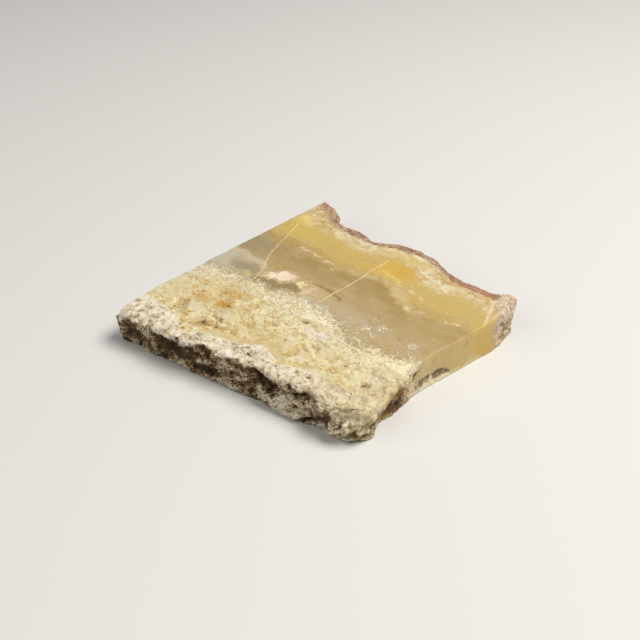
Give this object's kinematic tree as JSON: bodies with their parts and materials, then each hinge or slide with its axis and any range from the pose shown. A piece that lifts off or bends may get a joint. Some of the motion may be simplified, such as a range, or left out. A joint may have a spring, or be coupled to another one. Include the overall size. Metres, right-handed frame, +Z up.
{
  "type": "hokkaidoite slab",
  "caption": "Sawn slab of banded common opal vein with a rough chalky crust along one side and a thin rusty rim along the other, lying flat.",
  "frame": {"origin": "centre of the bounding box in plan, on the sawn face the slab rests on", "axes": "+X along the bands of the vein, from the plane sawn side to the side with the knob; +Y across the bands, from the chalky crust to the rusty rim; +Z up, through the thickness"},
  "size_m": [0.0426, 0.0456, 0.006],
  "materials": {
    "opal_vein": "sawn faces satin, waxy and milky translucent in grey-beige to honey yellow; crust dull chalky white over brown; rim thin rusty pink"
  },
  "bodies": {
    "root": {"slab": "opal_vein"}
  },
  "joints": []
}
